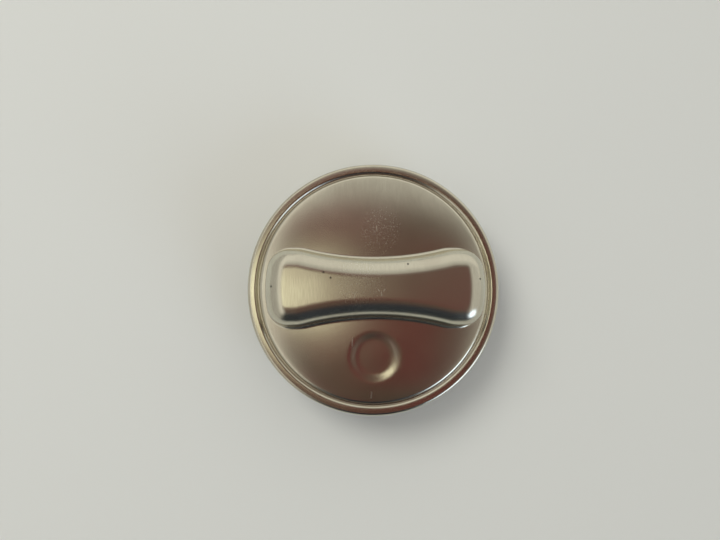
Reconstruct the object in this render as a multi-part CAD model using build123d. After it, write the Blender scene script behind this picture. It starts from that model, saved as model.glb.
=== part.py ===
from build123d import *

# Bayonet fuel tank cap: a pressed stainless shell over a sprung two-lug closure with a
# two-way breather valve. Millimetres, +Z up, origin under the middle of the ring it stands on.
# The grip and the two lugs lie along X.

import os
from math import asin, cos, degrees, pi, radians, sqrt, tan

# ---- driving sizes: shell ----------------------------------------------------------------
CAP_DIAMETER = 62.0
SHELL_SHEET = 0.7
SKIRT_HEIGHT = 10.7  # from the rim's crest to the skirt's lower edge
RIM_WIDTH = 2.7  # from the skirt's outer face to the bottom of the groove
RIM_HEIGHT = 0.6  # of the rim's crest above the groove
RIM_RADIUS = 1.1  # of the rim's outer corner
RIM_FLAT = 0.9  # of the crest, before it falls to the groove
CREST_RADIUS = 0.9
GROOVE_RADIUS = 0.25
SHOULDER_HEIGHT = 0.9  # of the panel's edge above the groove
SHOULDER_WIDTH = 0.5
SHOULDER_RADIUS = 0.9
DOME_RISE = 1.5  # of the panel's middle above its edge
HEM_LIP = 1.1  # how far the skirt's lower edge is turned in
HEM_RADIUS = 0.9

# ---- driving sizes: grip -----------------------------------------------------------------
GRIP_END_RADIUS = 25.9  # the grip's end walls are concentric with the cap
GRIP_END_WIDTH = 18.4
GRIP_WAIST = 13.9
GRIP_WAIST_SPAN = 35.0  # length of the hollowed sides
GRIP_HEIGHT = 10.5  # above the panel's edge
GRIP_DRAFT = 2.0  # degrees, of the grip's walls
GRIP_CORNER = 5.4
GRIP_FLARE = 9.0  # radius where a hollowed side runs out to the end
GRIP_TOP_RADIUS = 4.4
GRIP_FOOT_RADIUS = 0.8

# ---- driving sizes: plain dish stamped in the panel --------------------------------------
DISH_PLACE = 16.6  # from the cap's middle, towards -Y
DISH_DIAMETER = 13.0
DISH_FLOOR = 9.0
DISH_DEPTH = 0.35
DISH_CLEAR = 0.1  # how far the cut for the dish stands above the dome

# ---- driving sizes: bayonet plate and baffle ---------------------------------------------
REST_RING_DEPTH = 1.0  # of the ring that the cap stands on, below the bayonet plate
REST_RING_FLAT = 1.4
REST_RING_SLOPE = 0.6
PLATE_SHEET = 1.2
PLATE_DIAMETER = 38.0  # enters a neck with a 40 mm mouth
PLATE_MOUTH = 17.0
LUG_SPAN = 45.6
LUG_WIDTH = 12.0
LUG_LEAD = 0.5  # height of the sloped entry at each side of a lug
LUG_LEAD_RUN = 2.4
NECK_FLANGE = 6.3  # from the lugs' upper face to the gasket
BAFFLE_SHEET = 0.5
BAFFLE_DIAMETER = 30.4
BAFFLE_DROP = 1.4  # of its dished middle
BAFFLE_GAP = 0.3  # between the dished middle and the plate's mouth
BAFFLE_SLOPE = 1.5
BAFFLE_HOLE = 2.2
BAFFLE_HOLE_CIRCLE = 9.6
BAFFLE_HOLES = 6

# ---- driving sizes: closure cup, carrier, gasket and spring ------------------------------
CUP_SHEET = 0.8
CUP_DIAMETER = 35.0
CUP_FLAT_DEPTH = 0.7  # of each of the two flats that stop the closure turning in the carrier
CUP_CORNER = 1.6  # outside, between the floor and the wall
CUP_FLANGE_WIDTH = 3.5
SLIDE_GAP = 0.25  # closure to carrier, on the radius
STOP_GAP = 0.1  # closure's flange to the underside of the panel
GASKET_THICKNESS = 3.0
GASKET_OUTER = 53.0
GASKET_GAP = 0.3  # gasket to closure cup, on the radius
RIB_HEIGHT = 0.5
RIB_WIDTH = 1.4
RIB_COUNT = 2
CARRIER_SHEET = 0.8
CARRIER_STEP = 1.7  # height of the carrier's rim above its gasket seat
CARRIER_STEP_RUN = 1.2
CARRIER_STEP_GAP = 0.3  # gasket's edge to the foot of the step
CARRIER_CORNER = 1.4  # outside, between the rim and the skirt
CARRIER_FIT = 0.05  # carrier to the skirt's inner face, on the radius
CARRIER_FOOT_GAP = 0.1  # carrier's foot to the turned-in hem
VENT_HOLE = 1.0
VENT_HOLES = 4
SPRING_STRIP = 0.45
SPRING_WIDTH = 2.2
SPRING_WAVES = 4  # crests along the strip's length
SPRING_GAP = 0.02  # a spring's end to its seat

# ---- driving sizes: rivets ---------------------------------------------------------------
RIVET_SHANK = 2.6
RIVET_GAP = 0.05
RIVET_HEAD = 3.8
RIVET_HEAD_HEIGHT = 0.7
RIVET_EDGE_GAP = 0.1  # rivet head to the edge of the cage's flange
RIVET_COUNT = 4
RIVET_FIRST_ANGLE = 45.0

# ---- driving sizes: breather valve -------------------------------------------------------
SEAT_LEDGE = 0.5  # between the seat ring and the mouth in the cup's floor
SEAT_RING_WIDTH = 1.0
SEAT_RING_HEIGHT = 0.6
SEAL_OVERLAP = 1.5  # of the seal past the seat ring
SEAL_THICKNESS = 1.2
SEAL_BORE = 5.2
DISC_OVERHANG = 0.2  # of the valve disc past its seal
DISC_CAGE_GAP = 0.7  # valve disc to the inside of the cage
DISC_SHEET = 0.6
DISC_COLLAR = 1.2  # height of the collar that guides the stem
DISC_COLLAR_WALL = 0.5
VACUUM_MOUTH_GAP = 1.3  # vacuum disc to the mouth in the cup's floor
VACUUM_SHEET = 0.8
STEM_DIAMETER = 2.2
STEM_GAP = 0.1
STEM_LENGTH = 6.6  # above the valve disc
CLIP_DIAMETER = 5.6
CLIP_SHEET = 0.6
CLIP_GAP = 0.03
CAGE_RIVET_GAP = 0.3  # cage to the rivet heads
CAGE_SHEET = 0.6
CAGE_HEIGHT = 10.6  # above the floor of the cup
CAGE_FLANGE_GAP = 0.2  # cage's flange to the rounded corner in the cup
CAGE_WINDOW_WIDTH = 5.0
CAGE_WINDOW_HEIGHT = 4.5
CAGE_WINDOWS = 4
CAGE_ROOF_HOLE = 7.0
CAGE_CORNER = 1.4
CAGE_BEND = 0.3
PRESSURE_WIRE = 0.9
PRESSURE_INSET = 1.8  # from the valve disc's edge to the middle of the spring's wire
PRESSURE_TURNS = 3.5
VACUUM_WIRE = 0.4
VACUUM_COIL = 4.2
VACUUM_TURNS = 5.0

# ---- radii and levels, from the ground up ------------------------------------------------
CAP_R = CAP_DIAMETER / 2
SKIRT_INNER_R = CAP_R - SHELL_SHEET
GROOVE_R = CAP_R - RIM_WIDTH
PANEL_R = GROOVE_R - SHOULDER_WIDTH
PLATE_R = PLATE_DIAMETER / 2
CUP_R = CUP_DIAMETER / 2
CARRIER_R = SKIRT_INNER_R - CARRIER_FIT
CUP_FLAT = CUP_DIAMETER - 2 * CUP_FLAT_DEPTH
CUP_FLANGE = CUP_DIAMETER + 2 * CUP_FLANGE_WIDTH
WAVE_SPRING_R = (CUP_R + CUP_FLANGE / 2) / 2  # middle of the strip
CAGE_FLANGE = CUP_FLAT - 2 * (CUP_CORNER + CAGE_FLANGE_GAP)
RIVET_CIRCLE = CAGE_FLANGE - RIVET_HEAD - 2 * RIVET_EDGE_GAP
CAGE_DIAMETER = RIVET_CIRCLE - RIVET_HEAD - 2 * CAGE_RIVET_GAP
DISC_DIAMETER = CAGE_DIAMETER - 2 * (CAGE_SHEET + DISC_CAGE_GAP)
SEAL_DIAMETER = DISC_DIAMETER - 2 * DISC_OVERHANG
SEAT_RING_DIAMETER = SEAL_DIAMETER - 2 * SEAL_OVERLAP
SEAT_MOUTH = SEAT_RING_DIAMETER - 2 * (SEAT_RING_WIDTH + SEAT_LEDGE)
VACUUM_DISC = SEAT_MOUTH - 2 * VACUUM_MOUTH_GAP
PRESSURE_COIL = DISC_DIAMETER - 2 * PRESSURE_INSET

Z_PLATE = REST_RING_DEPTH
Z_LOCK = Z_PLATE + PLATE_SHEET
Z_CUP = Z_LOCK + BAFFLE_SHEET
Z_FLOOR = Z_CUP + CUP_SHEET
Z_GASKET = Z_LOCK + NECK_FLANGE
Z_SEAT = Z_GASKET + GASKET_THICKNESS
Z_SEAT_TOP = Z_SEAT + CARRIER_SHEET
Z_CARRIER_TOP = Z_SEAT_TOP + CARRIER_STEP
Z_GROOVE = Z_CARRIER_TOP + SHELL_SHEET
Z_CREST = Z_GROOVE + RIM_HEIGHT
Z_SKIRT = Z_CREST - SKIRT_HEIGHT
Z_PANEL = Z_GROOVE + SHOULDER_HEIGHT
Z_GRIP = Z_PANEL + GRIP_HEIGHT

DOME_R = (PANEL_R**2 + DOME_RISE**2) / (2 * DOME_RISE)
Z_DOME_CENTRE = Z_PANEL + DOME_RISE - DOME_R


def panel_height(radius):
    """Height of the panel's outer face at a radius."""
    return Z_DOME_CENTRE + sqrt(DOME_R**2 - radius**2)


DISH_LEAN = asin(DISH_PLACE / DOME_R)
DISH_EDGE_DROP = DISH_DEPTH + (CUP_FLANGE / 2 - DISH_PLACE) * tan(DISH_LEAN)
DISH_LOWEST = panel_height(DISH_PLACE) - DISH_EDGE_DROP  # of the floor, over the flange
Z_FLANGE_TOP = min(panel_height(CUP_FLANGE / 2), DISH_LOWEST) - SHELL_SHEET - STOP_GAP
Z_FLANGE = Z_FLANGE_TOP - CUP_SHEET
Z_SEAL = Z_FLOOR + SEAT_RING_HEIGHT
Z_DISC = Z_SEAL + SEAL_THICKNESS
Z_DISC_TOP = Z_DISC + DISC_SHEET
Z_CLIP_TOP = Z_DISC_TOP + STEM_LENGTH
Z_CLIP = Z_CLIP_TOP - CLIP_SHEET
Z_CAGE_TOP = Z_FLOOR + CAGE_HEIGHT
Z_CAGE_ROOF = Z_CAGE_TOP - CAGE_SHEET


# ---- small helpers -----------------------------------------------------------------------
def disc(radius, low, high):
    return extrude(Pos(0, 0, low) * Circle(radius), high - low)


def double_d(radius, across, low, high):
    """A disc with two flats, one at each side along Y."""
    plan = Circle(radius) & Rectangle(2 * radius, across)
    return extrude(Pos(0, 0, low) * plan, high - low)


def turned(*points):
    """A solid turned about the axis from the (radius, height) corners of its section."""
    return revolve(Plane.XZ * make_face(Polyline(*points, close=True)), Axis.Z)


def pressed(points, radii, sheet):
    """Sheet metal turned about the axis, from the line of its upper or outer face."""
    line = FilletPolyline(*points, radius=radii)
    strip = line.wire().offset_2d(sheet, side=Side.RIGHT, closed=True)
    return revolve(Plane.XZ * make_face(strip), Axis.Z)


def ring_of(shape, count, first=0.0):
    """Copies of a shape turned evenly about the axis."""
    return [Rot(0, 0, first + i * 360 / count) * shape for i in range(count)]


def without(body, tools):
    for tool in tools:
        body = body - tool
    return body


def coil(mean_radius, wire, low, high, turns):
    """A round-wire compression spring whose ends lie just clear of low and high."""
    inset = wire / 2 + SPRING_GAP
    rise = high - low - 2 * inset
    path = Pos(0, 0, low + inset) * Helix(rise / turns, rise, mean_radius)
    start = Plane(origin=path @ 0, z_dir=path % 0)
    return sweep(start * Circle(wire / 2), path, is_frenet=True)


# ---- cap shell ---------------------------------------------------------------------------
def shell_fill(inset):
    """Everything under the shell's outer face, drawn in by inset."""
    crest_r = CAP_R - RIM_RADIUS - RIM_FLAT
    corners = [
        (CAP_R, Z_SKIRT, HEM_RADIUS),
        (CAP_R, Z_CREST, RIM_RADIUS),
        (crest_r, Z_CREST, CREST_RADIUS),
        (GROOVE_R, Z_GROOVE, GROOVE_RADIUS),
        (PANEL_R, Z_PANEL, SHOULDER_RADIUS),
    ]
    right = [(x, z) for x, z, radius in corners]
    left = [(-x, z) for x, z in reversed(right)]
    dome = ThreePointArc(right[-1], (0, panel_height(0)), left[0])
    walls = Polyline(*left, *right)
    face = make_face([*walls.edges(), *dome.edges()])
    for side in (-1, 1):
        for x, z, radius in corners:
            corner = min(face.vertices(), key=lambda v: abs(v.X - side * x) + abs(v.Y - z))
            face = fillet(corner, radius)
    if inset:
        face = offset(face, -inset, kind=Kind.ARC)
    half = face & Pos(CAP_R, Z_CREST) * Rectangle(CAP_DIAMETER, CAP_DIAMETER)
    return revolve(Plane.XZ * half, Axis.Z)


def grip_plan(inset):
    """The grip's outline at the panel's edge, drawn in by inset all round."""
    half_width = GRIP_END_WIDTH / 2 - inset
    hollow = (GRIP_END_WIDTH - GRIP_WAIST) / 2
    hollow_r = ((GRIP_WAIST_SPAN / 2) ** 2 + hollow**2) / (2 * hollow)
    centre = GRIP_WAIST / 2 + hollow_r
    plan = Rectangle(CAP_DIAMETER, 2 * half_width) & Circle(GRIP_END_RADIUS - inset)
    for side in (-1, 1):
        plan = plan - Pos(0, side * centre) * Circle(hollow_r + inset)
    middle = GRIP_END_RADIUS / 2 + GRIP_WAIST_SPAN / 4
    plan = fillet([v for v in plan.vertices() if abs(v.X) > middle], GRIP_CORNER - inset)
    flares = [v for v in plan.vertices() if abs(v.X) < middle and abs(v.Y) > half_width - 1e-4]
    inner_flares = [v for v in flares if abs(v.X) < GRIP_WAIST_SPAN / 2 + 1]
    return fillet(inner_flares, GRIP_FLARE - inset)


def grip_block(inset):
    """The grip as a solid with drafted walls and a rounded top, drawn in by inset."""
    foot = Z_CARRIER_TOP
    top = Z_GRIP - inset
    per_height = tan(radians(GRIP_DRAFT))
    lower = Pos(0, 0, foot) * grip_plan(inset - (Z_PANEL - foot) * per_height)
    upper = Pos(0, 0, top) * grip_plan(inset + (top - Z_PANEL) * per_height)
    block = loft([lower, upper], ruled=True)
    return fillet(block.faces().sort_by(Axis.Z)[-1].edges(), GRIP_TOP_RADIUS - inset)


def with_grip(inset):
    """The dished fill and the grip, blended where the walls meet the panel."""
    fill = shell_fill(inset) - dish(inset)
    block = grip_block(inset)
    joined = fill + block
    foot = new_edges(fill, block, combined=joined)
    return fillet(foot, GRIP_FOOT_RADIUS + inset)


def dish(inset):
    """What the stamped dish takes away, square to the dome, lowered by inset."""
    spread = (DISH_DIAMETER - DISH_FLOOR) / 2 / DISH_DEPTH
    height = DISH_DEPTH + DISH_CLEAR
    top_r = DISH_FLOOR / 2 + spread * height
    cone = Cone(DISH_FLOOR / 2, top_r, height, align=(Align.CENTER, Align.CENTER, Align.MIN))
    place = Pos(0, -DISH_PLACE, panel_height(DISH_PLACE)) * Rot(degrees(DISH_LEAN), 0, 0)
    return place * Pos(0, 0, -inset - DISH_DEPTH) * cone


def cap_shell():
    outer = with_grip(0)
    inner = with_grip(SHELL_SHEET)
    mouth = disc(CAP_R - HEM_LIP, Z_SKIRT - SHELL_SHEET, Z_SKIRT + 2 * SHELL_SHEET)
    return outer - inner - mouth


# ---- carrier, gasket and wave spring -----------------------------------------------------
def carrier_plate():
    foot = Z_SKIRT + SHELL_SHEET + CARRIER_FOOT_GAP
    step_foot_r = GASKET_OUTER / 2 + CARRIER_STEP_GAP
    step_top_r = step_foot_r + CARRIER_STEP_RUN
    line = [(CUP_R - 2, Z_SEAT_TOP), (step_foot_r, Z_SEAT_TOP), (step_top_r, Z_CARRIER_TOP)]
    line += [(CARRIER_R, Z_CARRIER_TOP), (CARRIER_R, foot)]
    plate = pressed(line, [CARRIER_SHEET / 2, CARRIER_SHEET, CARRIER_CORNER], CARRIER_SHEET)
    hole = double_d(CUP_R + SLIDE_GAP, CUP_FLAT + 2 * SLIDE_GAP, Z_GASKET, Z_CARRIER_TOP)
    vent_r = (step_foot_r + step_top_r) / 2
    vent = Pos(vent_r, 0, 0) * disc(VENT_HOLE / 2, Z_GASKET, Z_CREST)
    return without(plate, [hole, *ring_of(vent, VENT_HOLES, 45)])


def sealing_gasket():
    inner_r = CUP_R + GASKET_GAP
    outer_r = GASKET_OUTER / 2
    face = Z_GASKET + RIB_HEIGHT
    body = turned((inner_r, face), (outer_r, face), (outer_r, Z_SEAT), (inner_r, Z_SEAT))
    spacing = (outer_r - inner_r) / (RIB_COUNT + 1)
    for i in range(RIB_COUNT):
        middle = inner_r + (i + 1) * spacing
        rib = [(middle - RIB_WIDTH / 2, face), (middle + RIB_WIDTH / 2, face)]
        rib += [(middle + RIB_WIDTH / 4, Z_GASKET), (middle - RIB_WIDTH / 4, Z_GASKET)]
        body = body + turned(*rib)
    return body


def wave_line(height, reach):
    """One face of the bent strip: even waves along X, their crests at 0 and at the ring."""
    swing = (Z_FLANGE - Z_SEAT_TOP - SPRING_STRIP) / 2 - SPRING_GAP
    steps = 8 * SPRING_WAVES
    places = [reach * (2 * i / steps - 1) for i in range(steps + 1)]
    wave = 2 * pi / WAVE_SPRING_R
    return Spline(*[(x, height + swing * cos(wave * x)) for x in places])


def wave_spring():
    """A flat ring bent into waves between the carrier and the closure's flange."""
    middle = (Z_SEAT_TOP + Z_FLANGE) / 2
    reach = WAVE_SPRING_R + SPRING_WIDTH
    upper = wave_line(middle + SPRING_STRIP / 2, reach)
    lower = wave_line(middle - SPRING_STRIP / 2, reach)
    ends = [Line(upper @ i, lower @ i) for i in (0, 1)]
    profile = make_face([*upper.edges(), *lower.edges(), *ends[0].edges(), *ends[1].edges()])
    bent = extrude(Plane.XZ * profile, reach, both=True)
    outer_r = WAVE_SPRING_R + SPRING_WIDTH / 2
    return bent & (disc(outer_r, Z_SEAT, Z_CREST) - disc(outer_r - SPRING_WIDTH, Z_SEAT, Z_CREST))


# ---- closure: cup, bayonet plate, baffle, cage and rivets --------------------------------
def rivet_holes():
    hole = Pos(RIVET_CIRCLE / 2, 0, 0) * disc(RIVET_SHANK / 2 + RIVET_GAP, 0, Z_DISC)
    return ring_of(hole, RIVET_COUNT, RIVET_FIRST_ANGLE)


def closure_cup():
    wall = double_d(CUP_R, CUP_FLAT, Z_CUP, Z_FLANGE)
    wall = fillet(wall.faces().sort_by(Axis.Z)[0].edges(), CUP_CORNER)
    hollow = double_d(CUP_R - CUP_SHEET, CUP_FLAT - 2 * CUP_SHEET, Z_FLOOR, Z_FLANGE_TOP)
    hollow = fillet(hollow.faces().sort_by(Axis.Z)[0].edges(), CUP_CORNER - CUP_SHEET)
    flange = disc(CUP_FLANGE / 2, Z_FLANGE, Z_FLANGE_TOP)
    ring_r = SEAT_RING_DIAMETER / 2
    ring = disc(ring_r, Z_FLOOR, Z_SEAL) - disc(ring_r - SEAT_RING_WIDTH, Z_FLOOR, Z_SEAL)
    mouth = disc(SEAT_MOUTH / 2, Z_CUP, Z_FLOOR)
    return without(wall + flange - hollow + ring, [mouth, *rivet_holes()])


def bayonet_plate():
    lugs = Circle(LUG_SPAN / 2) & Rectangle(LUG_SPAN, LUG_WIDTH)
    lugs = extrude(Pos(0, 0, Z_PLATE) * lugs, PLATE_SHEET)
    side = LUG_WIDTH / 2
    lead = [(side, Z_LOCK), (side, Z_LOCK - LUG_LEAD), (side - LUG_LEAD_RUN, Z_LOCK)]
    wedge = extrude(Plane.YZ * make_face(Polyline(*lead, close=True)), LUG_SPAN / 2, both=True)
    lugs = lugs - wedge - mirror(wedge, Plane.XZ)
    plate = lugs + disc(PLATE_R, Z_PLATE, Z_LOCK)
    outer_r = PLATE_R - REST_RING_SLOPE / 2
    inner_r = outer_r - REST_RING_FLAT - 2 * REST_RING_SLOPE
    foot = [(outer_r, Z_PLATE), (outer_r - REST_RING_SLOPE, 0)]
    foot += [(inner_r + REST_RING_SLOPE, 0), (inner_r, Z_PLATE)]
    plate = plate + turned(*foot)
    return without(plate, [disc(PLATE_MOUTH / 2, 0, Z_LOCK), *rivet_holes()])


def splash_baffle():
    edge_r = PLATE_MOUTH / 2 - BAFFLE_GAP
    top = Z_LOCK + BAFFLE_SHEET
    floor = top - BAFFLE_DROP
    rim = disc(BAFFLE_DIAMETER / 2, Z_LOCK, top)
    floor_r = edge_r - BAFFLE_SLOPE
    underside = floor - BAFFLE_SHEET
    outside = turned((0, Z_LOCK), (edge_r, Z_LOCK), (floor_r, underside), (0, underside))
    inside = turned((0, top), (edge_r, top), (floor_r, floor), (0, floor))
    hole = Pos(BAFFLE_HOLE_CIRCLE / 2, 0, 0) * disc(BAFFLE_HOLE / 2, 0, top)
    return without(rim + outside - inside, [*ring_of(hole, BAFFLE_HOLES), *rivet_holes()])


def spring_cage():
    outer_r = CAGE_DIAMETER / 2
    line = [(CAGE_ROOF_HOLE / 2, Z_CAGE_TOP), (outer_r, Z_CAGE_TOP)]
    line += [(outer_r, Z_FLOOR + CAGE_SHEET), (CAGE_FLANGE / 2, Z_FLOOR + CAGE_SHEET)]
    cage = pressed(line, [CAGE_CORNER, CAGE_BEND], CAGE_SHEET)
    window = Pos(outer_r, 0, (Z_FLOOR + Z_CAGE_TOP) / 2) * Box(
        4 * CAGE_SHEET, CAGE_WINDOW_WIDTH, CAGE_WINDOW_HEIGHT
    )
    return without(cage, [*ring_of(window, CAGE_WINDOWS), *rivet_holes()])


def closure_rivets():
    low = Z_PLATE
    high = Z_FLOOR + CAGE_SHEET
    radius = RIVET_SHANK / 2
    head = RIVET_HEAD / 2
    outline = [(0, low - RIVET_HEAD_HEIGHT), (head, low - RIVET_HEAD_HEIGHT), (head, low)]
    outline += [(radius, low), (radius, high), (head, high)]
    outline += [(head, high + RIVET_HEAD_HEIGHT), (0, high + RIVET_HEAD_HEIGHT)]
    rivet = turned(*outline)
    ends = [rivet.faces().sort_by(Axis.Z)[0], rivet.faces().sort_by(Axis.Z)[-1]]
    rivet = fillet([edge for end in ends for edge in end.edges()], RIVET_HEAD_HEIGHT / 2)
    return Compound(ring_of(Pos(RIVET_CIRCLE / 2, 0, 0) * rivet, RIVET_COUNT, RIVET_FIRST_ANGLE))


# ---- breather valve ----------------------------------------------------------------------
def valve_seal():
    return disc(SEAL_DIAMETER / 2, Z_SEAL, Z_DISC) - disc(SEAL_BORE / 2, Z_SEAL, Z_DISC)


def pressure_valve_plate():
    bore = STEM_DIAMETER / 2 + STEM_GAP
    collar = disc(bore + DISC_COLLAR_WALL, Z_DISC_TOP, Z_DISC_TOP + DISC_COLLAR)
    plate = disc(DISC_DIAMETER / 2, Z_DISC, Z_DISC_TOP) + collar
    return plate - disc(bore, Z_DISC, Z_DISC_TOP + DISC_COLLAR)


def vacuum_valve_disc():
    face = disc(VACUUM_DISC / 2, Z_SEAL - VACUUM_SHEET, Z_SEAL)
    return face + disc(STEM_DIAMETER / 2, Z_SEAL, Z_CLIP_TOP)


def stem_clip():
    bore = STEM_DIAMETER / 2 + CLIP_GAP
    return disc(CLIP_DIAMETER / 2, Z_CLIP, Z_CLIP_TOP) - disc(bore, Z_CLIP, Z_CLIP_TOP)


def pressure_spring():
    return coil(PRESSURE_COIL / 2, PRESSURE_WIRE, Z_DISC_TOP, Z_CAGE_ROOF, PRESSURE_TURNS)


def vacuum_spring():
    return coil(VACUUM_COIL / 2, VACUUM_WIRE, Z_DISC_TOP, Z_CLIP, VACUUM_TURNS)


PIECES = [
    cap_shell,
    carrier_plate,
    sealing_gasket,
    wave_spring,
    closure_cup,
    bayonet_plate,
    splash_baffle,
    spring_cage,
    closure_rivets,
    valve_seal,
    pressure_valve_plate,
    vacuum_valve_disc,
    stem_clip,
    pressure_spring,
    vacuum_spring,
]

os.makedirs("parts", exist_ok=True)
for piece in PIECES:
    export_step(piece(), f"parts/{piece.__name__}.step")
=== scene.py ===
"""Looks for a bayonet fuel tank cap: drawn stainless shell, plated closure, rubber gasket and valve.

Laid out as an add-on and run as a script. Metres, +Z up, the grip and the lugs along X."""

from math import asin, atan2, cos, hypot, pi, radians, sin, sqrt, tan

import bmesh
import bpy
from mathutils import Matrix, Vector


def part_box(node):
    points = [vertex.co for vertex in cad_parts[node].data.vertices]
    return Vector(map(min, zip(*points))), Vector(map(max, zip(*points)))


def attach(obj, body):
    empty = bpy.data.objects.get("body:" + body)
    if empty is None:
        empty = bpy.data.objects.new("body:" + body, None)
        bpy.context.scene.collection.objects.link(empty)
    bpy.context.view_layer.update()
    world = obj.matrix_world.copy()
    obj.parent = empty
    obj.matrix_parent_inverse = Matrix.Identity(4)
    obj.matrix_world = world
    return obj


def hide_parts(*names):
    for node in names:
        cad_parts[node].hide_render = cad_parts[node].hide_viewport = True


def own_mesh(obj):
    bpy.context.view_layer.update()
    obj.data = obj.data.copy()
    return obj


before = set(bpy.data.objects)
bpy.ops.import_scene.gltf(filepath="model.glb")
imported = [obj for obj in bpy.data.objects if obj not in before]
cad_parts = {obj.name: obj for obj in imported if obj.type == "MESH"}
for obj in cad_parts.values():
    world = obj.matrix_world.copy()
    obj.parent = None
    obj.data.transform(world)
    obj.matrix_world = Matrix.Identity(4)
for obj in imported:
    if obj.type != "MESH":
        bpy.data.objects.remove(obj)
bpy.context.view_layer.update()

bl_info = {
    "name": "Fuel Tank Cap",
    "version": (1, 0, 0),
    "blender": (4, 5, 0),
    "location": "View3D > Sidebar > Fuel Cap",
    "description": "Builds a pressed fuel tank cap piece by piece round its frame",
    "category": "Add Mesh",
}

MM = 0.001

# ---- places taken from the frame -----------------------------------------------------------
SHELL_LOW, SHELL_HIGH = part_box("cap_shell")
CAP_R = SHELL_HIGH.x
SKIRT_Z = SHELL_LOW.z
GRIP_Z = SHELL_HIGH.z


# ---- settings ------------------------------------------------------------------------------
def length(name, description, millimetres):
    return bpy.props.FloatProperty(
        name=name, description=description, default=millimetres * MM, subtype="DISTANCE", unit="LENGTH"
    )


def colour(name, description, value):
    return bpy.props.FloatVectorProperty(
        name=name, description=description, default=value, size=3, min=0, max=1, subtype="COLOR"
    )


def shade(name, description, value):
    """A light's colour, which may pass 1."""
    return bpy.props.FloatVectorProperty(
        name=name, description=description, default=value, size=3, min=0, subtype="COLOR"
    )


def share(name, description, value):
    return bpy.props.FloatProperty(
        name=name, description=description, default=value, min=0, max=1, subtype="FACTOR"
    )


class ShellSettings(bpy.types.PropertyGroup):
    sheet: length("Sheet", "Thickness of the drawn sheet", 0.7)
    skirt: length("Skirt", "From the rim's crest to the lower edge", 10.7)
    rim_width: length("Rim width", "From the skirt to the bottom of the groove", 2.7)
    rim_height: length("Rim height", "Of the rim's crest above the groove", 0.6)
    rim_radius: length("Rim radius", "Of the rim's outer corner", 0.85)
    rim_flat: length("Rim flat", "Of the crest, before it falls to the groove", 1.15)
    shoulder_rise: length("Shoulder rise", "Of the panel's edge above the groove", 0.9)
    shoulder_run: length("Shoulder run", "From the groove in to the panel's edge", 0.5)
    dome: length("Dome", "Rise of the panel's middle above its edge", 1.5)
    grip_end: length("Grip end", "Radius of the grip's end walls about the axis", 25.9)
    grip_width: length("Grip width", "Across the grip's broad ends", 18.4)
    grip_waist: length("Grip waist", "Across the grip's middle", 13.9)
    waist_span: length("Waist span", "Length of the hollowed sides", 35.0)
    grip_corner: length("Grip corner", "Radius of the corners in plan", 5.4)
    grip_flare: length("Grip flare", "Radius where a hollowed side meets the end", 9.0)
    grip_edge: length("Grip edge", "Radius of the rounded top edge", 4.6)
    grip_foot: length("Grip foot", "Radius where the wall meets the panel", 0.8)
    grip_crown: length("Grip crown", "Rise of the top's middle above its edge", 0.25)
    draft: bpy.props.FloatProperty(
        name="Draft", description="Lean of the grip's walls", default=radians(2), subtype="ANGLE"
    )
    dish_place: length("Dish place", "From the axis to the plain dish", 16.6)
    dish_depth: length("Dish depth", "Depth of the plain dish", 0.42)


class FinishSettings(bpy.types.PropertyGroup):
    steel: colour("Steel", "Warm satin stainless of the shell", (0.65, 0.625, 0.51))
    steel_dull: colour("Dull steel", "Dried film on the shell", (0.58, 0.545, 0.44))
    zinc: colour("Zinc", "Plating of the carrier and closure", (0.63, 0.64, 0.62))
    passivate: colour("Yellow zinc", "Passivated plating of the lug plate", (0.62, 0.55, 0.36))
    rubber: colour("Rubber", "Gasket and seal", (0.022, 0.022, 0.024))
    rivet: colour("Rivet", "Alloy of the rivets", (0.7, 0.7, 0.69))
    spring: colour("Spring", "Spring wire and strip", (0.45, 0.45, 0.46))
    acetal: colour("Acetal", "Vacuum valve disc", (0.72, 0.68, 0.56))
    grip_roughness: share("Grip roughness", "Of the grip", 0.25)
    panel_roughness: share("Panel roughness", "Of the satin panel and rim", 0.22)


class StageSettings(bpy.types.PropertyGroup):
    floor: colour("Floor", "Pale surface that the cap stands on", (0.7, 0.725, 0.705))
    ceiling: colour("Ceiling", "Soft light from all round", (1.0, 0.97, 0.9))
    overhead: colour("Overhead", "Darker middle of the ceiling", (0.085, 0.062, 0.043))
    overhead_red: colour("Overhead red", "Reddish patches of the dark ceiling", (0.15, 0.032, 0.03))
    front: colour("Front", "Dark wall towards -Y", (0.02, 0.025, 0.034))
    lamp: shade("Lamp", "Bright field of the ceiling", (2.0, 1.95, 1.5))
    window: shade("Window", "Low cool light towards +X and -Y", (2.2, 2.6, 3.2))


# ---- mesh helpers --------------------------------------------------------------------------
def arc_points(centre, radius, start, end, steps):
    """Points along an arc in the plane, both ends included."""
    turns = [start + (end - start) * i / steps for i in range(steps + 1)]
    return [(centre[0] + radius * cos(a), centre[1] + radius * sin(a)) for a in turns]


def rounded(corners, step=radians(11)):
    """A line through (r, z, radius) corners, each rounded by its radius."""
    line = []
    for i, (x, z, radius) in enumerate(corners):
        if radius == 0 or i in (0, len(corners) - 1):
            line.append((x, z))
            continue
        here = Vector((x, z))
        back = (Vector(corners[i - 1][:2]) - here).normalized()
        ahead = (Vector(corners[i + 1][:2]) - here).normalized()
        half = back.angle(ahead) / 2
        centre = here + (back + ahead).normalized() * radius / sin(half)
        first = here + back * radius / tan(half) - centre
        last = here + ahead * radius / tan(half) - centre
        sweep = first.angle_signed(last)
        steps = max(2, round(abs(sweep) / step))
        start = atan2(first.y, first.x)
        line += arc_points(centre, radius, start, start - sweep, steps)
    return line


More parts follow.
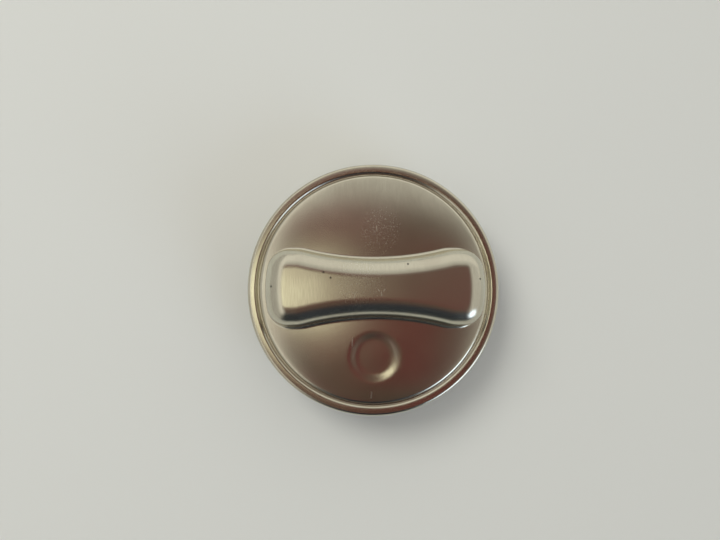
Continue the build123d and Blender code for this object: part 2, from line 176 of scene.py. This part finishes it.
def finish_mesh(name, bm, body, node, material, sharp):
    """The mesh as a piece that rides on its body and stands for its node, sharp past an angle."""
    bmesh.ops.remove_doubles(bm, verts=bm.verts, dist=1e-7)
    mesh = bpy.data.meshes.new(name)
    bm.to_mesh(mesh)
    bm.free()
    mesh.shade_smooth()
    mesh.set_sharp_from_angle(angle=radians(sharp))
    piece = bpy.data.objects.new(name, mesh)
    bpy.context.collection.objects.link(piece)
    mesh.materials.append(material)
    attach(piece, body)
    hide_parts(node)
    return piece


# ---- node helpers --------------------------------------------------------------------------
class Nodes:
    """A material's node tree, with short calls to add and link nodes."""

    def __init__(self, name):
        self.material = bpy.data.materials.new(name)
        self.material.use_nodes = True
        self.tree = self.material.node_tree
        self.shader = self.tree.nodes["Principled BSDF"]
        self.place = self.add("ShaderNodeTexCoord").outputs["Object"]

    def add(self, kind, **sockets):
        node = self.tree.nodes.new(kind)
        for name, value in sockets.items():
            self.put(node.inputs[name.replace("_", " ")], value)
        return node

    def put(self, socket, value):
        if isinstance(value, bpy.types.NodeSocket):
            self.tree.links.new(value, socket)
        else:
            socket.default_value = value

    def patch_at(self, places, inner, outer):
        """1 within inner of any of the (x, y) places, fading to 0 at outer."""
        total = 0.0
        flat = self.stretched((1, 1, 0))
        for x, y in places:
            reach = self.tree.nodes.new("ShaderNodeVectorMath")
            reach.operation = "DISTANCE"
            self.put(reach.inputs[0], flat)
            reach.inputs[1].default_value = (x * MM, y * MM, 0)
            total = self.math("ADD", total, self.band(reach.outputs["Value"], inner, outer, 1.0, 0.0))
        return total

    def scratch(self, x, y, length, turn):
        """1 along a fine straight scratch with its middle at (x, y) millimetres."""
        turned = self.add("ShaderNodeMapping", Vector=self.place, Rotation=(0, 0, radians(turn)))
        turned.vector_type = "TEXTURE"
        turned.inputs["Location"].default_value = (x * MM, y * MM, 0)
        split = self.add("ShaderNodeSeparateXYZ", Vector=turned.outputs[0])
        across = self.math("ABSOLUTE", split.outputs["X"])
        along = self.math("ABSOLUTE", split.outputs["Y"])
        narrow = self.band(across, 0.04 * MM, 0.12 * MM, 1.0, 0.0)
        near = self.band(along, length * 0.3 * MM, length * 0.5 * MM, 1.0, 0.0)
        return self.math("MULTIPLY", narrow, near)

    def math(self, operation, a, b=0.0, clamp=False):
        node = self.tree.nodes.new("ShaderNodeMath")
        node.operation = operation
        node.use_clamp = clamp
        self.put(node.inputs[0], a)
        self.put(node.inputs[1], b)
        return node.outputs[0]

    def stretched(self, scale):
        """Object coordinates scaled along each axis."""
        return self.add("ShaderNodeMapping", Vector=self.place, Scale=scale).outputs[0]

    def noise(self, scale, detail=3.0, roughness=0.55, vector=None):
        node = self.add("ShaderNodeTexNoise", Vector=vector or self.place)
        node.inputs["Scale"].default_value = scale
        node.inputs["Detail"].default_value = detail
        node.inputs["Roughness"].default_value = roughness
        return node.outputs["Fac"]

    def band(self, value, low, high, to_low=0.0, to_high=1.0):
        """A value mapped smoothly from one range to another."""
        node = self.tree.nodes.new("ShaderNodeMapRange")
        node.interpolation_type = "SMOOTHSTEP"
        self.put(node.inputs["Value"], value)
        node.inputs["From Min"].default_value = low
        node.inputs["From Max"].default_value = high
        node.inputs["To Min"].default_value = to_low
        node.inputs["To Max"].default_value = to_high
        return node.outputs["Result"]

    def mix(self, factor, a, b):
        node = self.tree.nodes.new("ShaderNodeMix")
        node.data_type = "RGBA"
        self.put(node.inputs["Factor"], factor)
        self.put(node.inputs[6], (*a, 1) if isinstance(a, tuple) else a)
        self.put(node.inputs[7], (*b, 1) if isinstance(b, tuple) else b)
        return node.outputs[2]

    def bump(self, height, distance):
        node = self.add("ShaderNodeBump", Height=height, Strength=1.0, Distance=distance)
        self.put(self.shader.inputs["Normal"], node.outputs[0])

    def set(self, **sockets):
        for name, value in sockets.items():
            value = (*value, 1) if isinstance(value, tuple) and len(value) == 3 else value
            self.put(self.shader.inputs[name.replace("_", " ")], value)


# ---- finishes ------------------------------------------------------------------------------
GRIP_LOW, GRIP_HIGH = 17.5 * MM, 23.5 * MM  # heights between which the panel's finish turns to the grip's
GRAIN = (6500, 350, 350)  # scale along each axis: fine across X, long along Y
WORN_PLACES = [(-4, 1.2), (1, 13), (2, 16)]  # millimetres from the axis
SCRATCHES = [  # middle x and y and length in millimetres, turn from Y in degrees
    (1.05, -1.5, 1.2, 3),
    (0.4, -0.7, 0.8, 40),
    (1.7, -0.7, 0.8, -35),
    (-5.0, -1.9, 1.4, -12),
    (0.6, 14.6, 1.8, 4),
    (-0.8, -25.8, 2.0, -6),
    (-5.4, -13.0, 2.4, -4),
]
PITS = [(-10.4, 2.1), (-23.9, 0.2), (23.8, 1.9), (7.2, 5.3), (-12, 3.4)]  # millimetres from the axis


def drawn_steel(finish):
    """Satin stainless, a little duller on the grip, with fine grain along Y, pits and wear marks."""
    n = Nodes("drawn_steel")
    split = n.add("ShaderNodeSeparateXYZ", Vector=n.place)
    height = split.outputs["Z"]
    on_grip = n.band(height, GRIP_LOW, GRIP_HIGH)
    grain = n.noise(1, 2.0, 0.5, n.stretched(GRAIN))
    cloud = n.noise(170, 4.0, 0.6)
    film = n.band(n.noise(75, 2.0, 0.5), 0.42, 0.66)
    speck = n.band(n.noise(3400, 3.0, 0.7), 0.58, 0.66)
    worn = n.math("MULTIPLY", n.patch_at(WORN_PLACES, 0.5 * MM, 7 * MM), speck)
    base = n.mix(n.math("MULTIPLY", film, 0.75), tuple(finish.steel), tuple(finish.steel_dull))
    base = n.mix(n.band(grain, 0.3, 0.7, 0.0, 0.12), base, (0.3, 0.27, 0.22))
    pit = n.patch_at(PITS, 0.12 * MM, 0.3 * MM)
    for scratch in SCRATCHES:
        worn = n.math("MAXIMUM", worn, n.scratch(*scratch))
    base = n.mix(n.math("MULTIPLY", worn, 0.3), base, (0.86, 0.83, 0.75))
    n.set(Metallic=1.0, Base_Color=n.mix(pit, base, (0.06, 0.05, 0.045)))
    satin = n.math("MULTIPLY_ADD", grain, 0.05)
    satin.node.inputs[2].default_value = finish.panel_roughness - 0.025
    change = finish.panel_roughness - finish.grip_roughness
    rough = n.math("SUBTRACT", satin, n.math("MULTIPLY", on_grip, change))
    n.set(Roughness=n.math("ADD", rough, n.math("MULTIPLY", worn, 0.15), clamp=True))
    n.bump(n.math("ADD", n.math("MULTIPLY", grain, 0.2), n.math("MULTIPLY", cloud, 0.8)), 0.000004)
    return n.material


def plated_steel(name, tint, roughness):
    """Zinc plating: soft mottle, darker in patches, with a slight grain."""
    n = Nodes(name)
    patch = n.band(n.noise(220, 4.0, 0.6), 0.4, 0.7)
    dark = tuple(c * 0.72 for c in tint)
    n.set(Metallic=1.0, Base_Color=n.mix(n.math("MULTIPLY", patch, 0.6), tuple(tint), dark))
    fine = n.noise(2500, 3.0)
    n.set(Roughness=n.band(fine, 0.3, 0.7, roughness - 0.06, roughness + 0.08))
    n.bump(fine, 0.000002)
    return n.material


def rubber(finish):
    n = Nodes("nitrile_rubber")
    dust = n.band(n.noise(900, 4.0, 0.7), 0.5, 0.8)
    pale = tuple(c + 0.05 for c in finish.rubber)
    n.set(Base_Color=n.mix(n.math("MULTIPLY", dust, 0.5), tuple(finish.rubber), pale))
    n.set(Roughness=n.band(n.noise(300), 0.3, 0.7, 0.5, 0.68))
    n.bump(n.noise(5000, 2.0), 0.00001)
    return n.material


def spring_wire(finish):
    n = Nodes("spring_wire")
    n.set(Metallic=1.0, Base_Color=n.mix(n.noise(400), tuple(finish.spring), (0.3, 0.29, 0.28)))
    n.set(Roughness=n.band(n.noise(1800), 0.3, 0.7, 0.22, 0.36))
    return n.material


def acetal(finish):
    n = Nodes("acetal")
    n.set(Base_Color=n.mix(n.noise(300), tuple(finish.acetal), (0.62, 0.57, 0.44)))
    n.set(Roughness=n.band(n.noise(900), 0.3, 0.7, 0.38, 0.5))
    n.bump(n.noise(3000, 2.0), 0.000006)
    return n.material


# ---- cap shell -----------------------------------------------------------------------------
LOOP = 320  # vertices round each ring of the shell, a multiple of four
TOP_STEPS = 12  # rings across the grip's flat top
EDGE_STEPS = 18  # round its top edge
WALL_STEPS = 7  # down its wall
FOOT_STEPS = 8  # round its foot
PANEL_STEPS = 44  # from the grip out to the panel's edge
SKIRT_STEPS = 5  # down the skirt
SPINE = 0.8  # length of the line along the grip's middle, as a share of its top
OUTLINE_STEP = 0.02 * MM  # between the fine points that the grip's plan is measured with
DISH_RADIUS = 6.5 * MM  # where the panel starts to fall into the plain dish
DISH_SLOPE = 2.5 * MM  # width of the dish's sloping edge
EDGE_FALL = 0.25  # share of the dome's fall that comes close to its edge
PANEL_LAP = 3 * MM  # straight stretch of the panel inside its edge
PANEL_BEND = 0.9 * MM  # radii of the bends between the panel and the hem
GROOVE_BEND = 0.25 * MM
CREST_BEND = 0.9 * MM
HEM_BEND = 0.9 * MM
CREST_FALL = 0.06 * MM  # slope of the rim's crest out to its corner
HEM_WIDTH = 1.1 * MM  # of the edge that is turned in under the carrier


def grip_quarter(shell):
    """Arcs of a quarter of the grip's plan: centre, radius, start, end, +1 convex or -1 hollow."""
    half = shell.grip_width / 2
    corner_y = half - shell.grip_corner
    corner_x = sqrt((shell.grip_end - shell.grip_corner) ** 2 - corner_y**2)
    meet = atan2(corner_y, corner_x)
    sag = (shell.grip_width - shell.grip_waist) / 2
    hollow = ((shell.waist_span / 2) ** 2 + sag**2) / (2 * sag)
    hollow_y = shell.grip_waist / 2 + hollow
    flare_y = half - shell.grip_flare
    flare_x = sqrt((hollow + shell.grip_flare) ** 2 - (hollow_y - flare_y) ** 2)
    lean = asin(flare_x / (hollow + shell.grip_flare))
    return [
        ((0, 0), shell.grip_end, 0, meet, 1),
        ((corner_x, corner_y), shell.grip_corner, meet, pi / 2, 1),
        ((flare_x, flare_y), shell.grip_flare, pi / 2, pi / 2 + lean, 1),
        ((0, hollow_y), hollow, lean - pi / 2, -pi / 2, -1),
    ]


def grip_outline(shell):
    """Evenly spaced points of the grip's plan with their outward normals, from +X round."""
    fine = []
    for (x, y), radius, start, end, side in grip_quarter(shell):
        steps = max(8, round(abs(end - start) * radius / OUTLINE_STEP))
        for i in range(steps + 1):
            a = start + (end - start) * i / steps
            fine.append((Vector((x + radius * cos(a), y + radius * sin(a))), side, a))
    lengths = [0.0]
    for one, two in zip(fine, fine[1:]):
        lengths.append(lengths[-1] + (two[0] - one[0]).length)
    count = LOOP // 4
    quarter, k = [], 0
    for i in range(count + 1):
        target = lengths[-1] * i / count
        while k < len(lengths) - 2 and lengths[k + 1] < target:
            k += 1
        gap = lengths[k + 1] - lengths[k]
        t = 0 if gap == 0 else min(1, (target - lengths[k]) / gap)
        point = fine[k][0].lerp(fine[k + 1][0], t)
        _, side, a = fine[k]
        quarter.append((point, Vector((cos(a), sin(a))) * side))
    quarter[0] = (quarter[0][0], Vector((1, 0)))
    quarter[-1] = (quarter[-1][0], Vector((0, 1)))
    points = []
    for turn in range(4):
        part = quarter[:-1] if turn % 2 == 0 else quarter[:0:-1]
        sx, sy = [(1, 1), (-1, 1), (-1, -1), (1, -1)][turn]
        points += [(Vector((p.x * sx, p.y * sy)), Vector((m.x * sx, m.y * sy))) for p, m in part]
    return points


class Panel:
    """The panel's outer face: a dome, steeper towards its edge, with one plain dish."""

    def __init__(self, shell):
        self.crest_z = SKIRT_Z + shell.skirt
        self.groove_z = self.crest_z - shell.rim_height
        self.edge_z = self.groove_z + shell.shoulder_rise
        self.groove_r = CAP_R - shell.rim_width
        self.edge_r = self.groove_r - shell.shoulder_run
        self.shell = shell

    def height(self, x, y):
        r = hypot(x, y) / self.edge_r
        dome = self.edge_z + self.shell.dome * (1 - (1 - EDGE_FALL) * r**2 - EDGE_FALL * r**6)
        reach = hypot(x, y + self.shell.dish_place)
        t = min(1, max(0, (DISH_RADIUS - reach) / DISH_SLOPE))
        return dome - self.shell.dish_depth * t * t * (3 - 2 * t)


def crown(shell, x, y):
    """Rise of the grip's top at a place, none at its outline."""
    along = max(0, 1 - (x / shell.grip_end) ** 2)
    across = max(0, 1 - (2 * y / shell.grip_width) ** 2)
    return shell.grip_crown * along * across


def top_rings(edge):
    """Rings that draw the grip's flat top in from its edge to a line along its middle."""
    rings = []
    for i in range(TOP_STEPS):
        rings.append([Vector((p.x * SPINE, 0, p.z)).lerp(p, i / TOP_STEPS) for p in edge])
    return rings


def grip_profile(shell, rise):
    """Offsets and heights down the grip: its top edge and wall, then its foot."""
    lean = shell.draft
    top_r = shell.grip_edge
    top_d = -(rise - top_r) * tan(lean) - top_r / cos(lean)
    foot_r = shell.grip_foot
    foot_d = foot_r / cos(lean) - foot_r * tan(lean)
    sides = arc_points((top_d, rise - top_r), top_r, pi / 2, lean, EDGE_STEPS)
    foot = [
        (foot_d - foot_r * cos(b), foot_r - foot_r * sin(b))
        for b in [lean + (pi / 2 - lean) * i / FOOT_STEPS for i in range(FOOT_STEPS + 1)]
    ]
    (high_d, high_h), (low_d, low_h) = sides[-1], foot[0]
    for i in range(1, WALL_STEPS):
        sides.append((high_d + (low_d - high_d) * i / WALL_STEPS, high_h + (low_h - high_h) * i / WALL_STEPS))
    return sides, foot


def grip_rings(shell, panel):
    """Rings from the line along the grip's middle down to where its foot meets the panel."""
    rise = GRIP_Z - shell.grip_crown - panel.edge_z
    sides, foot = grip_profile(shell, rise)
    outline = grip_outline(shell)
    rings = []
    for d, h in sides + foot:
        places = []
        for point, normal in outline:
            p = point + normal * d
            ground = panel.height(p.x, p.y) if h < rise * 0.5 else panel.height(point.x, point.y)
            z = ground + h * (rise + panel.edge_z - ground) / rise
            places.append(Vector((p.x, p.y, z)))
        rings.append(places)
    rings = top_rings(rings[0]) + rings
    for ring in rings[: -len(foot)]:
        for p in ring:
            p.z += crown(shell, p.x, p.y) * min(1, (p.z - panel.edge_z) / rise) ** 2
    return rings


def panel_rings(panel, foot, edge_r):
    """Rings from the grip's foot out to a radius, where they are round."""
    rings = []
    for i in range(1, PANEL_STEPS):
        t = i / PANEL_STEPS
        t = 0.55 * t + 0.45 * t * t  # closer together near the foot
        places = []
        for p in foot:
            flat = Vector((p.x, p.y))
            q = flat.lerp(flat.normalized() * edge_r, t)
            places.append(Vector((q.x, q.y, panel.height(q.x, q.y))))
        rings.append(places)
    return rings


def rim_section(shell, panel):
    """Radii and heights from the panel's edge over the groove and the rim down to the hem."""
    lap_r = panel.edge_r - PANEL_LAP
    line = rounded(
        [
            (lap_r, panel.height(lap_r, 0), 0),
            (panel.edge_r, panel.edge_z, PANEL_BEND),
            (panel.groove_r, panel.groove_z, GROOVE_BEND),
            (CAP_R - shell.rim_radius - shell.rim_flat, panel.crest_z, CREST_BEND),
            (CAP_R, panel.crest_z - CREST_FALL, shell.rim_radius),
            (CAP_R, SKIRT_Z, HEM_BEND),
            (CAP_R - HEM_WIDTH, SKIRT_Z, 0),
        ],
        radians(9),
    )[1:]
    section = []
    for (r, z), (_, next_z) in zip(line, line[1:]):
        section.append((r, z))
        if z - next_z > 3 * MM:  # the skirt, the one long straight stretch
            section += [(r, z + (next_z - z) * k / SKIRT_STEPS) for k in range(1, SKIRT_STEPS)]
    return section + line[-1:]


def shell_rings(shell, panel):
    """Every ring of the shell's outer face, from the grip's top out to the hem."""
    rings = grip_rings(shell, panel)
    section = rim_section(shell, panel)
    foot = rings[-1]
    rings += panel_rings(panel, foot, section[0][0])
    for r, z in section:
        rings.append([Vector((p.x, p.y, 0)).normalized() * r + Vector((0, 0, z)) for p in foot])
    return rings


def ring_edges(bm, loop):
    return [bm.edges.get((loop[i], loop[(i + 1) % LOOP])) for i in range(LOOP)]


def build_shell(shell, finish):
    panel = Panel(shell)
    rings = shell_rings(shell, panel)
    bm = bmesh.new()
    loop = bmesh.ops.create_circle(bm, segments=LOOP, radius=CAP_R)["verts"]
    loop.sort(key=lambda v: atan2(v.co.y, v.co.x) % (2 * pi))
    edges = ring_edges(bm, loop)
    for v, place in zip(loop, rings[0]):
        v.co = place
    for places in rings[1:]:
        made = bmesh.ops.extrude_edge_only(bm, edges=edges)["geom"]
        fresh = {g for g in made if isinstance(g, bmesh.types.BMVert)}
        follow = {}
        for v in loop:
            for e in v.link_edges:
                other = e.other_vert(v)
                if other in fresh:
                    follow[v] = other
        loop = [follow[v] for v in loop]
        edges = ring_edges(bm, loop)
        for v, place in zip(loop, places):
            v.co = place
    bmesh.ops.recalc_face_normals(bm, faces=bm.faces)
    bm.normal_update()
    top = max(bm.faces, key=lambda f: f.calc_center_median().z)
    if top.normal.z < 0:
        bmesh.ops.reverse_faces(bm, faces=bm.faces)
    piece = finish_mesh("shell", bm, "cap", "cap_shell", drawn_steel(finish), 60)
    wall = piece.modifiers.new("sheet", "SOLIDIFY")
    wall.thickness = shell.sheet
    wall.offset = -1
    return piece


# ---- inner pieces from their frame ---------------------------------------------------------
COPY_SHARP = 30  # degrees past which an edge of an inner piece stays sharp


def build_copy(name, body, node, material):
    """The frame's own shape with its seams merged, its round faces smooth and a new finish."""
    bm = bmesh.new()
    bm.from_mesh(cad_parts[node].data)
    return finish_mesh(name, bm, body, node, material, COPY_SHARP)


def squeeze(piece):
    """Gives a spring a mesh of its own; it is not shortened here."""
    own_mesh(piece)


# ---- operators -----------------------------------------------------------------------------
def zinc():
    """The plating that several pieces share, made once."""
    made = bpy.data.materials.get("zinc_plating")
    return made or plated_steel("zinc_plating", bpy.context.scene.fuelcap_finish.zinc, 0.3)


class FUELCAP_OT_shell(bpy.types.Operator):
    """Builds the drawn shell with its grip"""

    bl_idname = "fuelcap.shell"
    bl_label = "Shell"

    def execute(self, context):
        build_shell(context.scene.fuelcap_shell, context.scene.fuelcap_finish)
        return {"FINISHED"}


class FUELCAP_OT_carrier(bpy.types.Operator):
    """Builds the plate that carries the closure inside the skirt"""

    bl_idname = "fuelcap.carrier"
    bl_label = "Carrier plate"

    def execute(self, context):
        build_copy("carrier", "cap", "carrier_plate", zinc())
        return {"FINISHED"}


class FUELCAP_OT_rubber(bpy.types.Operator):
    """Builds the ribbed gasket and the valve seal"""

    bl_idname = "fuelcap.rubber"
    bl_label = "Gasket and seal"

    def execute(self, context):
        black = rubber(context.scene.fuelcap_finish)
        build_copy("gasket", "cap", "sealing_gasket", black)
        build_copy("seal", "pressure_valve", "valve_seal", black)
        return {"FINISHED"}


class FUELCAP_OT_cup(bpy.types.Operator):
    """Builds the sliding cup of the closure"""

    bl_idname = "fuelcap.cup"
    bl_label = "Closure cup"

    def execute(self, context):
        build_copy("cup", "closure", "closure_cup", zinc())
        return {"FINISHED"}


class FUELCAP_OT_lug_plate(bpy.types.Operator):
    """Builds the plate with the two bayonet lugs"""

    bl_idname = "fuelcap.lug_plate"
    bl_label = "Lug plate"

    def execute(self, context):
        plating = plated_steel("yellow_zinc", context.scene.fuelcap_finish.passivate, 0.3)
        build_copy("lug_plate", "closure", "bayonet_plate", plating)
        return {"FINISHED"}


class FUELCAP_OT_baffle(bpy.types.Operator):
    """Builds the dished baffle with its breather holes"""

    bl_idname = "fuelcap.baffle"
    bl_label = "Splash baffle"

    def execute(self, context):
        build_copy("baffle", "closure", "splash_baffle", zinc())
        return {"FINISHED"}


class FUELCAP_OT_cage(bpy.types.Operator):
    """Builds the cage over the breather valve"""

    bl_idname = "fuelcap.cage"
    bl_label = "Spring cage"

    def execute(self, context):
        build_copy("cage", "closure", "spring_cage", zinc())
        return {"FINISHED"}


class FUELCAP_OT_rivets(bpy.types.Operator):
    """Builds the four rivets of the closure"""

    bl_idname = "fuelcap.rivets"
    bl_label = "Rivets"

    def execute(self, context):
        alloy = plated_steel("rivet_alloy", context.scene.fuelcap_finish.rivet, 0.35)
        build_copy("rivets", "closure", "closure_rivets", alloy)
        return {"FINISHED"}


class FUELCAP_OT_valve(bpy.types.Operator):
    """Builds the two valve discs and the clip on the stem"""

    bl_idname = "fuelcap.valve"
    bl_label = "Breather valve"

    def execute(self, context):
        plastic = acetal(context.scene.fuelcap_finish)
        build_copy("valve_plate", "pressure_valve", "pressure_valve_plate", zinc())
        build_copy("vacuum_disc", "vacuum_valve", "vacuum_valve_disc", plastic)
        build_copy("clip", "vacuum_valve", "stem_clip", zinc())
        return {"FINISHED"}


class FUELCAP_OT_springs(bpy.types.Operator):
    """Builds the wave ring and the two coil springs"""

    bl_idname = "fuelcap.springs"
    bl_label = "Springs"

    def execute(self, context):
        wire = spring_wire(context.scene.fuelcap_finish)
        ring = build_copy("wave_ring", "cap", "wave_spring", wire)
        squeeze(ring)
        strong = build_copy("strong_spring", "closure", "pressure_spring", wire)
        squeeze(strong)
        light = build_copy("light_spring", "pressure_valve", "vacuum_spring", wire)
        squeeze(light)
        return {"FINISHED"}


# ---- stage ---------------------------------------------------------------------------------
CAMERA_PLACE = Vector((-7.35, -3.5, 147.2)) * MM
CAMERA_AIM = Vector((-3.45, 4.54, 14.9)) * MM
CAMERA_LENS = 26.9  # millimetres, on a sensor 36 wide
WINDOW_PLACE = Vector((-0.45, 0.45, 0.75))  # metres
WINDOW_SIZE = 0.5
WINDOW_POWER = 4.0  # watts
FLOOR_REACH = 3  # metres from the middle to each side


def build_camera():
    data = bpy.data.cameras.new("camera")
    data.lens = CAMERA_LENS
    data.sensor_width = 36
    data.clip_start = 0.005
    camera = bpy.data.objects.new("camera", data)
    back = (CAMERA_PLACE - CAMERA_AIM).normalized()
    right = (Vector((1, 0, 0)) - back * back.x).normalized()
    up = back.cross(right)
    turn = Matrix((right, up, back)).transposed().to_4x4()
    camera.matrix_world = Matrix.Translation(CAMERA_PLACE) @ turn
    bpy.context.collection.objects.link(camera)
    bpy.context.scene.camera = camera


def build_floor(stage):
    bm = bmesh.new()
    bmesh.ops.create_grid(bm, x_segments=1, y_segments=1, size=FLOOR_REACH)
    mesh = bpy.data.meshes.new("floor")
    bm.to_mesh(mesh)
    bm.free()
    floor = bpy.data.objects.new("floor", mesh)
    bpy.context.collection.objects.link(floor)
    n = Nodes("pale_surface")
    n.set(Base_Color=tuple(stage.floor), Roughness=0.7)
    n.shader.inputs["Specular IOR Level"].default_value = 0.2
    mesh.materials.append(n.material)


def build_lights():
    data = bpy.data.lights.new("window", "AREA")
    data.shape = "DISK"
    data.size = WINDOW_SIZE
    data.energy = WINDOW_POWER
    data.color = (1.0, 0.97, 0.9)
    lamp = bpy.data.objects.new("window", data)
    lamp.visible_glossy = False
    turn = WINDOW_PLACE.to_track_quat("Z", "Y").to_matrix().to_4x4()
    lamp.matrix_world = Matrix.Translation(WINDOW_PLACE) @ turn
    bpy.context.collection.objects.link(lamp)


class Sky(Nodes):
    """The world's node tree."""

    def __init__(self, world):
        world.use_nodes = True
        self.tree = world.node_tree
        self.tree.nodes.clear()
        self.place = self.add("ShaderNodeTexCoord").outputs["Generated"]
        split = self.add("ShaderNodeSeparateXYZ", Vector=self.place)
        self.x, self.y, self.z = split.outputs
        self.up = self.math("MAXIMUM", self.z, 0.02)
        self.u = self.math("DIVIDE", self.x, self.up)
        self.v = self.math("DIVIDE", self.y, self.up)

    def box_mask(self, left, right, near, far, soft):
        """1 inside a rectangle of the ceiling, in slopes from the zenith, fading at its edges."""
        mask = self.band(self.u, left - soft, left + soft)
        mask = self.math("MULTIPLY", mask, self.band(self.u, right - soft, right + soft, 1.0, 0.0))
        mask = self.math("MULTIPLY", mask, self.band(self.v, near - soft, near + soft))
        return self.math("MULTIPLY", mask, self.band(self.v, far - soft, far + soft, 1.0, 0.0))

    def spot(self, towards, inner, outer):
        """1 within inner degrees of a direction, fading to 0 at outer degrees."""
        near = self.tree.nodes.new("ShaderNodeVectorMath")
        near.operation = "DOT_PRODUCT"
        self.put(near.inputs[0], self.place)
        near.inputs[1].default_value = Vector(towards).normalized()
        return self.band(near.outputs["Value"], cos(radians(outer)), cos(radians(inner)))


def dimmed(tint, amount):
    return tuple(c * amount for c in tint)


def room_light(sky, stage):
    """The pale ceiling, dimmer to the right, the far left and the back."""
    pale = tuple(stage.ceiling)
    far_left = sky.band(sky.u, -1.1, -0.6, 1.0, 0.0)
    light = sky.mix(sky.band(sky.u, 0.3, 1.1), pale, dimmed(pale, 0.62))
    light = sky.mix(far_left, light, dimmed(pale, 0.5))
    back = sky.mix(sky.band(sky.v, 0.6, 1.1), dimmed(pale, 0.6), dimmed(pale, 0.85))
    behind = sky.math("MULTIPLY", sky.band(sky.v, 0.2, 0.5), sky.band(sky.u, -0.5, -0.1))
    return sky.mix(behind, light, back)


def overhead_dark(sky, stage, light):
    """The dark middle of the ceiling with its reddish patches."""
    dark = sky.math("MULTIPLY", sky.band(sky.u, -0.48, -0.28), sky.band(sky.u, 0.4, 0.85, 1.0, 0.0))
    dark = sky.math("MULTIPLY", dark, sky.band(sky.v, 0.28, 0.5, 1.0, 0.0))
    reddish = sky.band(sky.noise(5.5, 1.0, 0.4), 0.42, 0.6)
    return sky.mix(dark, light, sky.mix(reddish, tuple(stage.overhead), tuple(stage.overhead_red)))


def front_wall(sky, stage, light):
    """The dark wall towards -Y, in slopes from that direction."""
    below = sky.math("MAXIMUM", sky.math("MULTIPLY", sky.y, -1.0), 0.02)
    across = sky.math("DIVIDE", sky.x, below)
    front = sky.math("MULTIPLY", sky.band(across, -0.8, -0.4), sky.band(across, 0.9, 1.3, 1.0, 0.0))
    front = sky.math("MULTIPLY", front, sky.band(sky.v, -0.95, -0.5, 1.0, 0.0))
    return sky.mix(front, light, tuple(stage.front))


def build_world(stage):
    """The light field that the steel mirrors, and a plain backdrop for the camera."""
    world = bpy.data.worlds.new("soft_room")
    bpy.context.scene.world = world
    sky = Sky(world)
    light = overhead_dark(sky, stage, room_light(sky, stage))
    light = sky.mix(sky.box_mask(-0.34, -0.06, -0.08, 0.1, 0.045), light, tuple(stage.lamp))
    light = front_wall(sky, stage, light)
    light = sky.mix(sky.spot((0.66, -0.6, 0.36), 12, 20), light, tuple(stage.window))
    lit = sky.add("ShaderNodeBackground", Color=light, Strength=1.0)
    plain = sky.add("ShaderNodeBackground", Color=(0.8, 0.79, 0.77, 1), Strength=1.0)
    both = sky.tree.nodes.new("ShaderNodeMixShader")
    sky.put(both.inputs[0], sky.add("ShaderNodeLightPath").outputs["Is Camera Ray"])
    sky.put(both.inputs[1], lit.outputs[0])
    sky.put(both.inputs[2], plain.outputs[0])
    out = sky.tree.nodes.new("ShaderNodeOutputWorld")
    sky.put(out.inputs[0], both.outputs[0])


class FUELCAP_OT_stage(bpy.types.Operator):
    """Sets the floor, the soft light and the camera"""

    bl_idname = "fuelcap.stage"
    bl_label = "Stage"

    def execute(self, context):
        stage = context.scene.fuelcap_stage
        build_floor(stage)
        build_lights()
        build_world(stage)
        build_camera()
        return {"FINISHED"}


class FUELCAP_PT_panel(bpy.types.Panel):
    """Lists the cap's pieces and their settings"""

    bl_label = "Fuel Cap"
    bl_idname = "FUELCAP_PT_panel"
    bl_space_type = "VIEW_3D"
    bl_region_type = "UI"
    bl_category = "Fuel Cap"

    def draw(self, context):
        for operator in OPERATORS:
            self.layout.operator(operator.bl_idname)
        for group, kind in GROUPS.items():
            for name in kind.__annotations__:
                self.layout.prop(getattr(context.scene, group), name)


GROUPS = {
    "fuelcap_shell": ShellSettings,
    "fuelcap_finish": FinishSettings,
    "fuelcap_stage": StageSettings,
}
OPERATORS = [
    FUELCAP_OT_shell,
    FUELCAP_OT_carrier,
    FUELCAP_OT_rubber,
    FUELCAP_OT_cup,
    FUELCAP_OT_lug_plate,
    FUELCAP_OT_baffle,
    FUELCAP_OT_cage,
    FUELCAP_OT_rivets,
    FUELCAP_OT_valve,
    FUELCAP_OT_springs,
    FUELCAP_OT_stage,
]


def register():
    for cls in (*GROUPS.values(), *OPERATORS, FUELCAP_PT_panel):
        bpy.utils.register_class(cls)
    for name, group in GROUPS.items():
        setattr(bpy.types.Scene, name, bpy.props.PointerProperty(type=group))


def unregister():
    for name in GROUPS:
        delattr(bpy.types.Scene, name)
    for cls in (FUELCAP_PT_panel, *reversed(OPERATORS), *GROUPS.values()):
        bpy.utils.unregister_class(cls)


def main():
    register()
    bpy.context.scene.view_settings.view_transform = "Standard"
    bpy.ops.fuelcap.shell()
    bpy.ops.fuelcap.carrier()
    bpy.ops.fuelcap.rubber()
    bpy.ops.fuelcap.cup()
    bpy.ops.fuelcap.lug_plate()
    bpy.ops.fuelcap.baffle()
    bpy.ops.fuelcap.cage()
    bpy.ops.fuelcap.rivets()
    bpy.ops.fuelcap.valve()
    bpy.ops.fuelcap.springs()
    bpy.ops.fuelcap.stage()


if __name__ == "__main__":
    main()
